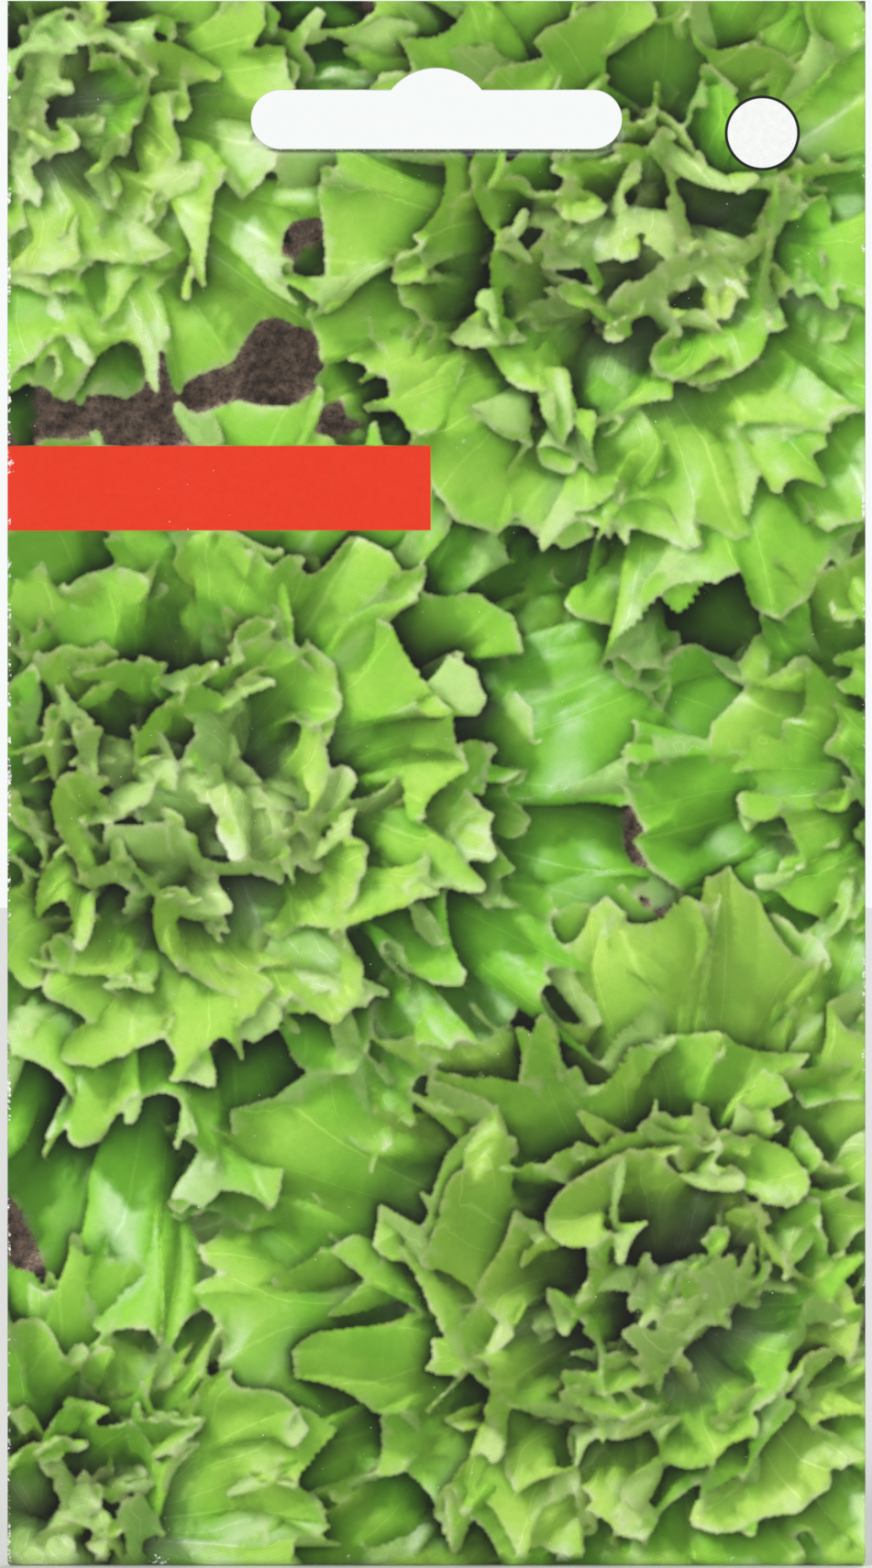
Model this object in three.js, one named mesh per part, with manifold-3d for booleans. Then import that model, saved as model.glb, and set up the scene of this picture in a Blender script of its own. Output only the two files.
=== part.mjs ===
// A paper seed packet that hangs from a slot in its flat header, with the lettuce seeds inside it.
// Millimetres, +Z up, printed front towards -Y. The origin is the middle of the hang slot.
import * as THREE from 'three';
import { mergeVertices } from 'three/addons/utils/BufferGeometryUtils.js';
import Module from 'manifold-3d';

// Envelope: one sheet, folded round both sides, lapped at the back and turned up along the bottom
const WIDTH = 74;
const HEIGHT = 135;
const PAPER = 0.2;
const GLUE_GAP = 0.1;
const HEADER = 24;
const SEAM_LAP = 12;
const SEAM_STEP = 2;
const FLAP = 12;
const FRONT_BULGE = 1.9;
const BACK_BULGE = 1.3;
const BULGE_LEAN = 0.7;

// Hang slot: a round-ended slot with a round crown that finds the peg
const SLOT_WIDTH = 32;
const SLOT_HEIGHT = 5.1;
const SLOT_BELOW_TOP = 10.2;
const CROWN_RADIUS = 5;
const CROWN_RISE = 1.9;

// Lettuce seeds, as a heap settled in the bottom of the pocket
const SEED_LENGTH = 3.8;
const SEED_WIDTH = 1.1;
const SEED_THICKNESS = 0.6;
const SEED_SPACING = 1.25;
const SEED_TRIES = 1500;
const SEED_TILT = 0.16;
const SEED_CLEARANCE = 0.35;
const HEAP_WIDTH = 46;
const HEAP_LOW = 7;
const HEAP_HIGH = 27;
const HEAP_CORE = 0.7;
const RANDOM_SEED = 7;

// Faceting
const FRONT_STEPS = 14;
const BACK_STEPS = 3;
const SIDE_STEPS = 4;
const POCKET_STEPS = 20;
const FOLD_STEPS = 4;
const FLAP_STEPS = 4;

// Levels of the sheet's two faces, front and back, and of the lap over the back seam
const OUTER = GLUE_GAP / 2 + PAPER;
const INNER = GLUE_GAP / 2;
const LAP_INNER = OUTER + GLUE_GAP;
const LAP_OUTER = LAP_INNER + PAPER;
const SIDE_X = WIDTH / 2 - OUTER;
const FOLD_AXIS_Y = LAP_OUTER + GLUE_GAP;
const TOP_Z = SLOT_BELOW_TOP;
const FOLD_Z = TOP_Z - HEIGHT + FOLD_AXIS_Y + OUTER;
const POCKET_TOP_Z = TOP_Z - HEADER;

const wasm = await Module();
wasm.setup();

const paper = new THREE.MeshStandardMaterial({ color: 0x7fb23c, roughness: 0.4, metalness: 0 });
const seedCoat = new THREE.MeshStandardMaterial({ color: 0x4a3b2a, roughness: 0.7, metalness: 0 });

// Share of the full bulge at a place on the packet: none at the folds and the header, most a third of the way up.
function pillow(x, z) {
  const height = THREE.MathUtils.clamp((z - FOLD_Z) / (POCKET_TOP_Z - FOLD_Z), 0, 1);
  const across = Math.max(0, 1 - (x / SIDE_X) ** 2);
  return across * Math.sin(Math.PI * height ** BULGE_LEAN);
}

// Evenly spaced values from one number to another, both ends included.
function spaced(from, to, steps) {
  return Array.from({ length: steps + 1 }, (_, i) => from + ((to - from) * i) / steps);
}

// The flat sheet seen along Z: the places of its printed and plain faces, from the edge under the back seam,
// round the left side, across the front, round the right side and on to the edge that laps the seam.
function sheetStations() {
  const back = (x) => ({ printed: [x, OUTER], plain: [x, INNER], side: 1 });
  const front = (x) => ({ printed: [x, -OUTER], plain: [x, -INNER], side: -1 });
  const lap = (x) => ({ printed: [x, LAP_OUTER], plain: [x, LAP_INNER], side: 1 });
  const fold = (side, turn) => ({
    printed: [side * (SIDE_X + OUTER * Math.sin(turn)), OUTER * Math.cos(turn)],
    plain: [side * (SIDE_X + INNER * Math.sin(turn)), INNER * Math.cos(turn)],
    side: 1,
  });
  const turns = spaced(0, Math.PI, SIDE_STEPS).slice(1, -1);
  const lapEdge = SEAM_LAP / 2;
  return [
    back(lapEdge),
    ...spaced(-lapEdge - 1, -SIDE_X, BACK_STEPS).map(back),
    ...turns.map((turn) => fold(-1, turn)),
    ...spaced(-SIDE_X, SIDE_X, FRONT_STEPS).map(front),
    ...turns.toReversed().map((turn) => fold(1, turn)),
    ...spaced(SIDE_X, lapEdge + 1.5 * SEAM_STEP, BACK_STEPS).map(back),
    lap(lapEdge + SEAM_STEP / 2),
    lap(-lapEdge),
  ];
}

// Rows down the sheet: the header, the pocket, the turn about the bottom fold and the flap on the back.
function sheetRows() {
  const standing = [TOP_Z, ...spaced(POCKET_TOP_Z, FOLD_Z, POCKET_STEPS)];
  const turns = spaced(0, Math.PI, FOLD_STEPS).slice(1, -1);
  return [
    ...standing.map((z) => ({ turn: 0, lift: z - FOLD_Z })),
    ...turns.map((turn) => ({ turn, lift: 0 })),
    ...spaced(0, FLAP, FLAP_STEPS).map((lift) => ({ turn: Math.PI, lift })),
  ];
}

// Where a place on the flat sheet comes to lie: turned about the bottom fold, then swelled by the bulge.
function folded([x, y], station, row) {
  const reach = FOLD_AXIS_Y - y;
  const z = FOLD_Z + row.lift - reach * Math.sin(row.turn);
  const turnedY = FOLD_AXIS_Y - reach * Math.cos(row.turn);
  const onFront = row.turn === 0 && station.side < 0;
  const swell = onFront ? -FRONT_BULGE : BACK_BULGE;
  return [x, turnedY + swell * pillow(x, z), z];
}

// A closed sheet from a grid of stations by rows, with the same triangles on both faces.
function sheetGeometry(stations, rows) {
  const columns = stations.length;
  const faceSize = columns * rows.length;
  const positions = ['printed', 'plain'].flatMap((face) =>
    rows.flatMap((row) => stations.flatMap((station) => folded(station[face], station, row))));
  const at = (face, row, column) => face * faceSize + row * columns + column;
  const triangles = [];
  const quad = (a, b, c, d) => triangles.push(a, b, c, a, c, d);
  for (let r = 0; r + 1 < rows.length; r++) {
    for (let c = 0; c + 1 < columns; c++) {
      quad(at(0, r, c), at(0, r + 1, c), at(0, r + 1, c + 1), at(0, r, c + 1));
      triangles.push(at(1, r, c), at(1, r + 1, c + 1), at(1, r + 1, c));
      triangles.push(at(1, r, c), at(1, r, c + 1), at(1, r + 1, c + 1));
    }
  }
  const lastRow = rows.length - 1;
  const lastColumn = columns - 1;
  for (let c = 0; c < lastColumn; c++) {
    quad(at(0, 0, c), at(0, 0, c + 1), at(1, 0, c + 1), at(1, 0, c));
    quad(at(0, lastRow, c + 1), at(0, lastRow, c), at(1, lastRow, c), at(1, lastRow, c + 1));
  }
  for (let r = 0; r < lastRow; r++) {
    quad(at(0, r + 1, 0), at(0, r, 0), at(1, r, 0), at(1, r + 1, 0));
    quad(at(0, r, lastColumn), at(0, r + 1, lastColumn), at(1, r + 1, lastColumn), at(1, r, lastColumn));
  }
  const geometry = new THREE.BufferGeometry();
  geometry.setAttribute('position', new THREE.Float32BufferAttribute(positions, 3));
  geometry.setIndex(triangles);
  return geometry;
}

// A closed geometry as a solid that can be joined and cut.
function solidOf(geometry) {
  const bare = geometry.clone();
  bare.deleteAttribute('normal');
  bare.deleteAttribute('uv');
  const merged = mergeVertices(bare, 1e-4);
  return new wasm.Manifold(new wasm.Mesh({
    numProp: 3,
    vertProperties: new Float32Array(merged.getAttribute('position').array),
    triVerts: new Uint32Array(merged.index.array),
  }));
}

// A solid as a geometry again.
function geometryOf(solid) {
  const { vertProperties, triVerts } = solid.getMesh();
  const geometry = new THREE.BufferGeometry();
  geometry.setAttribute('position', new THREE.BufferAttribute(vertProperties, 3));
  geometry.setIndex(new THREE.BufferAttribute(triVerts, 1));
  geometry.computeVertexNormals();
  return geometry;
}

// The punch that makes the hang slot, standing through the header along Y.
function slotPunch() {
  const half = SLOT_HEIGHT / 2;
  const endX = SLOT_WIDTH / 2 - half;
  const crownZ = half + CROWN_RISE - CROWN_RADIUS;
  const crownTurn = Math.asin((half - crownZ) / CROWN_RADIUS);
  const outline = new THREE.Shape();
  outline.absarc(endX, 0, half, -Math.PI / 2, Math.PI / 2);
  outline.absarc(0, crownZ, CROWN_RADIUS, crownTurn, Math.PI - crownTurn);
  outline.absarc(-endX, 0, half, Math.PI / 2, 1.5 * Math.PI);
  const depth = 4 * LAP_OUTER;
  const punch = new THREE.ExtrudeGeometry(outline, { depth, bevelEnabled: false, curveSegments: 8 });
  return punch.rotateX(Math.PI / 2).translate(0, depth / 2, 0);
}

function envelope() {
  const sheet = solidOf(sheetGeometry(sheetStations(), sheetRows()));
  return new THREE.Mesh(geometryOf(sheet.subtract(solidOf(slotPunch()))), paper);
}

// Even random numbers from 0 to 1, the same in every run.
function randomNumbers(state) {
  return () => {
    state = (state + 0x6d2b79f5) | 0;
    let mixed = Math.imul(state ^ (state >>> 15), 1 | state);
    mixed = (mixed + Math.imul(mixed ^ (mixed >>> 7), 61 | mixed)) ^ mixed;
    return ((mixed ^ (mixed >>> 14)) >>> 0) / 4294967296;
  };
}

// One seed along X: a flattened spindle, blunt at one end.
function seedGeometry() {
  const half = SEED_LENGTH / 2;
  const profile = [[0, -half], [0.38, -0.5 * half], [0.5, 0.35 * half], [0, half]];
  const spindle = new THREE.LatheGeometry(profile.map(([r, y]) => new THREE.Vector2(r, y)), 5);
  return spindle.scale(SEED_WIDTH, 1, SEED_THICKNESS).rotateZ(Math.PI / 2).rotateX(Math.PI / 2);
}

// Middle of the pocket across its thickness, and half the room for seeds on each side of it.
function pocketRoom(x, z) {
  const share = pillow(x, z);
  const middle = ((BACK_BULGE - FRONT_BULGE) / 2) * share;
  const room = ((BACK_BULGE + FRONT_BULGE) / 2) * share + INNER - SEED_CLEARANCE;
  return { middle, room };
}

// Half the heap's width at a height: round at the bottom, as the pocket is, and level on top.
function heapHalfWidth(z) {
  const height = THREE.MathUtils.clamp((z - FOLD_Z - HEAP_LOW) / (HEAP_HIGH - HEAP_LOW), 0, 1);
  return (HEAP_WIDTH / 2) * (0.62 + 0.38 * Math.sqrt(height));
}

// The thin bed at the heap's middle that the seeds lie in.
function heapCore() {
  const low = FOLD_Z + HEAP_LOW;
  const high = FOLD_Z + HEAP_HIGH;
  const heights = spaced(low, high, 6);
  const outline = new THREE.Shape();
  outline.moveTo(-heapHalfWidth(low), low);
  heights.forEach((z) => outline.lineTo(heapHalfWidth(z), z));
  heights.toReversed().forEach((z) => outline.lineTo(-heapHalfWidth(z), z));
  const core = new THREE.ExtrudeGeometry(outline, { depth: HEAP_CORE, bevelEnabled: false });
  const middle = pocketRoom(0, (low + high) / 2).middle;
  return core.rotateX(Math.PI / 2).translate(0, middle + HEAP_CORE / 2, 0);
}

// Three places along the axis of a seed, to keep the seeds of one layer from lying across each other.
function axisPlaces(x, z, turn) {
  const along = new THREE.Vector2(Math.cos(turn), -Math.sin(turn));
  const middle = new THREE.Vector2(x, z);
  return [-0.36, 0, 0.36].map((share) => middle.clone().addScaledVector(along, share * SEED_LENGTH));
}

// The heap: a layer of seeds on each side of the core, every seed lying partly in it.
function seeds() {
  const random = randomNumbers(RANDOM_SEED);
  const between = (low, high) => low + (high - low) * random();
  const shape = seedGeometry();
  const solids = [solidOf(heapCore())];
  for (const layer of [-1, 1]) {
    const taken = [];
    for (let i = 0; i < SEED_TRIES; i++) {
      const z = FOLD_Z + between(HEAP_LOW + 1, HEAP_HIGH - 1);
      const x = heapHalfWidth(z) * between(-0.95, 0.95);
      const turn = between(0, 2 * Math.PI);
      const places = axisPlaces(x, z, turn);
      if (taken.some((other) => places.some((place) => place.distanceTo(other) < SEED_SPACING))) continue;
      taken.push(...places);
      const { middle, room } = pocketRoom(x, z);
      const proud = Math.min((HEAP_CORE + SEED_THICKNESS) / 2 - 0.2, room - SEED_THICKNESS / 2);
      const placed = shape.clone()
        .rotateX(between(-SEED_TILT, SEED_TILT))
        .rotateZ(between(-SEED_TILT, SEED_TILT) / 2)
        .rotateY(turn)
        .translate(x, middle + layer * proud, z);
      solids.push(solidOf(placed));
    }
  }
  return new THREE.Mesh(geometryOf(wasm.Manifold.union(solids)), seedCoat);
}

const packet = new THREE.Group();
const pieces = { envelope: envelope(), seeds: seeds() };
for (const [name, mesh] of Object.entries(pieces)) {
  mesh.name = name;
  packet.add(mesh);
}

export default packet;
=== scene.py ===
"""A printed paper seed packet hanging upright: one folded sheet round a heap of lettuce seeds."""

import math

import bpy
import numpy as np
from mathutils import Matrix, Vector
from mathutils.geometry import delaunay_2d_cdt


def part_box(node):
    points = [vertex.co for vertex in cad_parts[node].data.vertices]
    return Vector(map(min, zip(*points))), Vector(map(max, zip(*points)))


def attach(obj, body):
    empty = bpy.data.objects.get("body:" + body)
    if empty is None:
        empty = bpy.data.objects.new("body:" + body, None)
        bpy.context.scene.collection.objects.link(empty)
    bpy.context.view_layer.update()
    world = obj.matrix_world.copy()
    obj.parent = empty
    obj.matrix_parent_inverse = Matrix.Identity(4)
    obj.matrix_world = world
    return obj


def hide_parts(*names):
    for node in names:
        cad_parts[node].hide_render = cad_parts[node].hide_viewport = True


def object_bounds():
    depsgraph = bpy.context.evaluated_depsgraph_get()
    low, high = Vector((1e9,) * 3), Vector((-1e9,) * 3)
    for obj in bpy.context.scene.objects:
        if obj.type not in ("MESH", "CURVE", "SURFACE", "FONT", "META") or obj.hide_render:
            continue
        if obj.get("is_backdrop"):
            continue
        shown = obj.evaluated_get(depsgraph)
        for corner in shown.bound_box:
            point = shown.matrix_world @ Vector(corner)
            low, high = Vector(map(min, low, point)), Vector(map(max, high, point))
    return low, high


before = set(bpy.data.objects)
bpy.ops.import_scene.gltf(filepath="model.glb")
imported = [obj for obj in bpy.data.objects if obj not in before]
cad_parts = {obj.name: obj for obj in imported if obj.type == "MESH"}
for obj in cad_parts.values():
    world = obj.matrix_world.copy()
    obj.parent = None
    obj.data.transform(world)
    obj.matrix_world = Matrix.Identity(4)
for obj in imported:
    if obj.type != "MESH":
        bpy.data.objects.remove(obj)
cad_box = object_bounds()

# The sheet, in millimetres, as the solids have it
MM = 0.001
LOW, HIGH = (np.array(corner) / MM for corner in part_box("envelope"))
WIDTH = HIGH[0] - LOW[0]
TOP_Z = HIGH[2]
BOTTOM_Z = LOW[2]
PAPER = 0.2
GLUE_GAP = 0.1
HEADER = 24.0
SEAM_LAP = 12.0
SEAM_STEP = 2.0
FLAP = 12.0
FRONT_BULGE = 1.9
BACK_BULGE = 1.3
BULGE_LEAN = 0.7
SLOT_WIDTH = 32.0
SLOT_HEIGHT = 5.1
CROWN_RADIUS = 5.0
CROWN_RISE = 1.9

SLOT_HALF = SLOT_HEIGHT / 2
CROWN_Z = SLOT_HALF + CROWN_RISE - CROWN_RADIUS
LAP_HALF = SEAM_LAP / 2
OUTER = GLUE_GAP / 2 + PAPER
INNER = GLUE_GAP / 2
LAP_RISE = PAPER + GLUE_GAP
SIDE_X = WIDTH / 2 - OUTER
FOLD_AXIS_Y = OUTER + LAP_RISE + GLUE_GAP
FOLD_Z = BOTTOM_Z + FOLD_AXIS_Y + OUTER
POCKET_TOP_Z = TOP_Z - HEADER

# The flat sheet before folding: s runs across it from the edge under the back seam,
# and v runs down it from the top edge
BACK_RUN = LAP_HALF + SIDE_X
SIDE_RUN = math.pi * (OUTER + INNER) / 2
S_LEFT = BACK_RUN
S_FRONT = S_LEFT + SIDE_RUN
S_RIGHT = S_FRONT + 2 * SIDE_X
S_BACK = S_RIGHT + SIDE_RUN
S_END = S_BACK + BACK_RUN
V_FOLD = TOP_Z - FOLD_Z
V_FLAP = V_FOLD + math.pi * FOLD_AXIS_Y
V_END = V_FLAP + FLAP

# The print: places on it are millimetres right of and below the front's top left corner
PIXEL = 0.12
BLEED = 4.0
PICTURE_SEED = 11
NO_LEAF = -1000.0
PIT_DEPTH = 0.35
MARKS = 7
REACH, RIB, TONE, UNDER, RIM, FAN, OUT = range(MARKS)
VEINS_PER_RADIAN = 4.4
LEAF_STEP = 0.1
LEAF_STRETCH = 1.9
GOLDEN_TURN = math.pi * (3 - math.sqrt(5))
SKIRT_LEAVES = 7
SOIL_DEPTH = 8
CLOD_RISE = 5
CLOD_SIZE = 4.0
CRUMB_SIZE = 1.6
MOTTLE_SIZE = 3.0

# Each printed head: its middle to the right and down, its radius, leaves, turn and tone
HEADS = ((2, 8, 25, 17, 1.0, 0.0), (55, 22, 31, 22, 0.3, 0.05), (17, 70, 32, 22, 2.0, 0.0),
         (57, 112, 32, 22, 4.0, 0.08), (4, 133, 25, 17, 5.0, -0.03), (84, 67, 24, 14, 3.0, -0.02))

# The picture's light: its direction, where shadows are looked for, in pixels,
# and how much higher leaves hide the sky, at reaches in millimetres
LIGHT = np.array([-0.50, -0.60, 0.62])
LIGHT /= np.linalg.norm(LIGHT)
LIGHT_LEVEL = 0.75
SHADOW_STEPS = (2, 4, 6, 9, 13, 18, 25, 34, 46, 60)
SHADOW_DARK = 0.86
SKY_REACHES = ((0.5, 0.30), (1.3, 0.22), (3.2, 0.11), (8, 0.05))
SOIL_SKY = 0.45
GLOSS_POWER = 28
EXPOSURE = 1.5


def linear(red, green, blue):
    """A colour given as on a screen, as light."""
    share = np.array([red, green, blue]) / 255
    return np.where(share <= 0.04045, share / 12.92, ((share + 0.055) / 1.055) ** 2.4)


def rgba(colour, fourth=1.0):
    """A colour with its fourth number."""
    return (*map(float, colour), fourth)


LEAF_DEEP = linear(64, 136, 30)
LEAF_MID = linear(110, 190, 44)
LEAF_LIME = linear(160, 214, 76)
LEAF_PALE = linear(206, 232, 172)
LEAF_RIM = linear(204, 226, 148)
LEAF_UNDERSIDE = linear(194, 218, 150)
SOIL_BROWN = linear(158, 132, 114)
THROUGH_TINT = np.array([1.0, 1.0, 0.45])
GLOSS_TINT = np.array([0.95, 1.0, 0.95])
PAPER_WHITE = linear(244, 243, 238)
BAND_RED = linear(232, 56, 28)
DISC_WHITE = linear(243, 244, 243)
RING_BLACK = linear(26, 28, 26)
BACK_GROUND = linear(240, 240, 226)
BACK_GREEN = linear(96, 158, 44)
BACK_TINT = linear(214, 228, 184)
BACK_AMBER = linear(232, 160, 52)


def smooth(share):
    """A step from 0 to 1 with soft ends."""
    share = np.clip(share, 0, 1)
    return share * share * (3 - 2 * share)


def zigzag(value):
    """A wave of straight flanks from 0 to 1 with one peak for each whole number."""
    return 1 - np.abs(2 * (value - np.floor(value)) - 1)


def blend(grid, i, j, down, right):
    """Values of a grid at shares of the way down and right from its crossings."""
    near = grid[i, j] * (1 - down) + grid[i + 1, j] * down
    far = grid[i, j + 1] * (1 - down) + grid[i + 1, j + 1] * down
    return near * (1 - right) + far * right


def read_grid(grid, row, column):
    """Smoothly interpolated values of a grid of random numbers."""
    row = np.clip(row, 0, grid.shape[0] - 1.001)
    column = np.clip(column, 0, grid.shape[1] - 1.001)
    i = row.astype(np.int32)
    j = column.astype(np.int32)
    return blend(grid, i, j, smooth(row - i), smooth(column - j))


def clouds(rng, shape, cell, octaves):
    """Cloudy random values from 0 to 1, the largest clouds a cell of millimetres across."""
    total = np.zeros(shape, np.float32)
    weight = 1.0
    weights = 0.0
    for _ in range(octaves):
        rows = (np.arange(shape[0]) * PIXEL / cell)[:, None]
        columns = (np.arange(shape[1]) * PIXEL / cell)[None, :]
        grid = rng.random((int(rows[-1, 0]) + 3, int(columns[0, -1]) + 3)).astype(np.float32)
        total += weight * read_grid(grid, rows, columns)
        weights += weight
        weight *= 0.55
        cell /= 2
    return total / weights


def blur(values, reach):
    """A picture softened over a reach in millimetres."""
    pixels = max(1, round(reach / PIXEL))
    for axis in (0, 1, 0, 1):
        pad = [(0, 0), (0, 0)]
        pad[axis] = (pixels, pixels)
        sums = np.cumsum(np.pad(values, pad, mode="edge"), axis=axis, dtype=np.float64)
        count = values.shape[axis]
        high = np.take(sums, np.arange(2 * pixels, 2 * pixels + count), axis=axis)
        low = np.take(sums, np.arange(count), axis=axis)
        values = (high - low) / (2 * pixels)
    return values


class Picture:
    """Frilled lettuce heads seen from above, kept as the highest leaf at each pixel."""

    def __init__(self, width, height, seed):
        self.rng = np.random.default_rng(seed)
        self.shape = (round(height / PIXEL), round(width / PIXEL))
        count = self.shape[0] * self.shape[1]
        self.height = np.full(count, NO_LEAF, np.float32)
        self.normal = np.zeros((count, 3), np.float32)
        self.marks = np.zeros((count, MARKS), np.float32)
        self.latest = np.zeros(count, np.int32)

    def add_head(self, x, y, radius, leaves, turn, tone):
        """A rosette of leaves, curled over at the heart and lying outwards over a low skirt."""
        for i in range(SKIRT_LEAVES):
            middle = np.array([x, y, -0.22 * radius])
            azimuth = turn + i * 2 * math.pi / SKIRT_LEAVES
            self.add_leaf(middle, azimuth, start=0.05 * radius, length=0.72 * radius, base_up=0.15,
                          tip_up=-0.1, spread=1.2, waves=3.0, frill=0.5, hue=tone - 0.2)
        for i in range(leaves):
            share = (i + 0.5) / leaves
            opening = share ** 0.7
            azimuth = turn + i * GOLDEN_TURN + self.rng.normal(0, 0.22)
            length = radius * (0.40 + 0.68 * share ** 0.8) * (1 + self.rng.normal(0, 0.09))
            base_up = math.radians(84 - 58 * opening + self.rng.normal(0, 6))
            tip_up = math.radians(165 - 190 * opening + self.rng.normal(0, 14))
            spread = 1.10 + 0.15 * self.rng.random()
            waves = 2.6 + 1.6 * self.rng.random()
            middle = np.array([x, y, -0.10 * radius * share]) + np.append(self.rng.normal(0, 0.5, 2), 0)
            hue = tone + self.rng.normal(0, 0.10) + 0.25 * (1 - share)
            frill = 0.62 + 0.38 * min(1, 2 * share)
            start = radius * (0.02 + 0.07 * share)
            self.add_leaf(middle, azimuth, start, length, base_up, tip_up, spread, waves, frill, hue)

    def add_leaf(self, middle, azimuth, start, length, base_up, tip_up, spread, waves, frill, hue):
        """A fan-shaped leaf with a waved and toothed margin, sampled finely enough to fill its pixels."""
        angles = int(2 * spread * length * LEAF_STRETCH / LEAF_STEP) + 8
        reaches = int(length * 1.15 / LEAF_STEP) + 8
        angle = np.linspace(-spread, spread, angles, dtype=np.float32)[:, None]
        reach = np.linspace(0.05, 1, reaches, dtype=np.float32)[None, :]
        across = angle / spread
        phase = self.rng.random(11) * 2 * math.pi
        wander = read_grid(self.rng.random((18, 7)).astype(np.float32), (across + 1) * 7.5, reach * 4)
        margin = wander[:, -1:]

        lobes = 1 + 0.06 * np.sin(2.3 * math.pi * across + phase[0])
        lobes += 0.05 * np.sin(5.2 * math.pi * across + phase[1])
        tooth = angle * length / 4.8 + 1.3 * margin + phase[2]
        teeth = 3.4 * zigzag(tooth) ** 2.1 * (0.5 + margin) + 1.3 * zigzag(2.37 * tooth + phase[3]) ** 1.7
        teeth = teeth * np.clip(length / 26, 0.45, 1) - 1.5
        out = reach * length * (1 - 0.28 * np.abs(across) ** 3) * lobes + reach ** 6 * teeth

        wave = waves * across * math.pi + 2.0 * wander + phase[4]
        broad = 0.115 * frill * length * reach ** 2.6
        middling = 0.062 * frill * length * reach ** 5
        fine = 0.026 * frill * length * reach ** 10
        lift = broad * np.sin(wave) + middling * np.sin(2.3 * wave + phase[5] + 1.2 * wander)
        lift += fine * np.sin(5.3 * wave + phase[6])
        lift += (0.07 * math.sin(phase[9]) + 0.04) * length * reach ** 6
        lift += 0.25 * teeth * np.sin(phase[10] + 1.7 * wave) * reach ** 9
        slide = 0.75 * broad * np.sin(2 * wave + phase[7]) + middling * np.sin(4.6 * wave + phase[8])
        slide += 0.8 * fine * np.cos(5.3 * wave + phase[6])
        blisters = self.rng.random((int(spread * length / 2.2) + 5, int(length / 3) + 5)).astype(np.float32)
        rows = (across + 1) / 2 * (blisters.shape[0] - 2)
        lift += 0.75 * (read_grid(blisters, rows, reach * (blisters.shape[1] - 2)) - 0.5) * np.sqrt(reach)

        nodes = np.linspace(0, 1.3, 96)
        step = nodes[1] * length
        up = (base_up + (tip_up - base_up) * np.minimum(nodes, 1.15) ** 1.3).astype(np.float32)
        rib_out = np.append(0, np.cumsum((np.cos(up[1:]) + np.cos(up[:-1])) / 2) * step).astype(np.float32)
        rib_up = np.append(0, np.cumsum((np.sin(up[1:]) + np.sin(up[:-1])) / 2) * step).astype(np.float32)
        place = np.clip(out * np.cos(angle) / np.float32(step), 0, len(nodes) - 1.001)
        node = place.astype(np.int32)
        part = place - node
        side = out * np.sin(angle) + slide
        tilt = up[node] * (1 - part) + up[node + 1] * part
        cup = side ** 2 / length
        radial = start + rib_out[node] * (1 - part) + rib_out[node + 1] * part
        radial -= lift * np.sin(tilt) + 0.30 * cup * np.clip(np.sin(tilt), 0, 1)
        z = middle[2] + rib_up[node] * (1 - part) + rib_up[node + 1] * part
        z = z + lift * np.cos(tilt) + 0.12 * cup
        x = middle[0] + math.cos(azimuth) * radial - math.sin(azimuth) * side
        y = middle[1] + math.sin(azimuth) * radial + math.cos(azimuth) * side
        surface = [values.astype(np.float32) for values in (x, y, z)]

        chosen, pixels = self.highest(surface)
        if len(chosen) == 0:
            return
        i, j = np.divmod(chosen, reaches)
        self.keep_normal(pixels, surface, i, j)
        self.keep_marks(pixels, angle[i, 0], reach[0, j], out[i, j], wander[i, j], hue)

    def highest(self, surface):
        """Which of a leaf's samples stand above everything drawn so far, and at which pixels."""
        column = np.floor((surface[0] + BLEED) / PIXEL).astype(np.int32)
        row = np.floor((surface[1] + BLEED) / PIXEL).astype(np.int32)
        inside = (column >= 0) & (column < self.shape[1]) & (row >= 0) & (row < self.shape[0])
        pixel = (row * self.shape[1] + column).ravel()
        z = surface[2].ravel()
        chosen = np.flatnonzero(inside.ravel())
        chosen = chosen[z[chosen] > self.height[pixel[chosen]]]
        chosen = chosen[np.argsort(z[chosen])]
        serial = np.arange(len(chosen), dtype=np.int32)
        self.latest[pixel[chosen]] = serial
        chosen = chosen[self.latest[pixel[chosen]] == serial]
        self.height[pixel[chosen]] = z[chosen]
        return chosen, pixel[chosen]

    def keep_normal(self, pixels, surface, i, j):
        """The way each kept sample faces, turned to the viewer, and whether it is an underside."""
        rows, columns = surface[0].shape
        above, below = np.minimum(i + 1, rows - 1), np.maximum(i - 1, 0)
        right, left = np.minimum(j + 1, columns - 1), np.maximum(j - 1, 0)
        along_angle = np.stack([values[above, j] - values[below, j] for values in surface], 1)
        along_reach = np.stack([values[i, right] - values[i, left] for values in surface], 1)
        normal = np.cross(along_reach, along_angle)
        normal /= np.linalg.norm(normal, axis=1, keepdims=True) + 1e-9
        under = normal[:, 2] < 0
        normal[under] *= -1
        self.normal[pixels] = normal
        self.marks[pixels, UNDER] = under

    def keep_marks(self, pixels, angle, reach, out, wander, hue):
        """Where on its leaf each kept sample lies: its reach, midrib, rim and place among the veins."""
        rib = np.clip(1 - np.abs(out * np.sin(angle)) / (0.35 + 1.8 * (1 - reach) ** 1.5), 0, 1)
        self.marks[pixels, REACH] = reach
        self.marks[pixels, RIB] = rib * np.clip((0.85 - reach) * 4, 0, 1)
        self.marks[pixels, TONE] = hue
        self.marks[pixels, RIM] = np.clip(1 - (1 - reach) * out / 0.30, 0, 1)
        self.marks[pixels, FAN] = VEINS_PER_RADIAN * angle + 0.45 * (wander - 0.5)
        self.marks[pixels, OUT] = out

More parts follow.
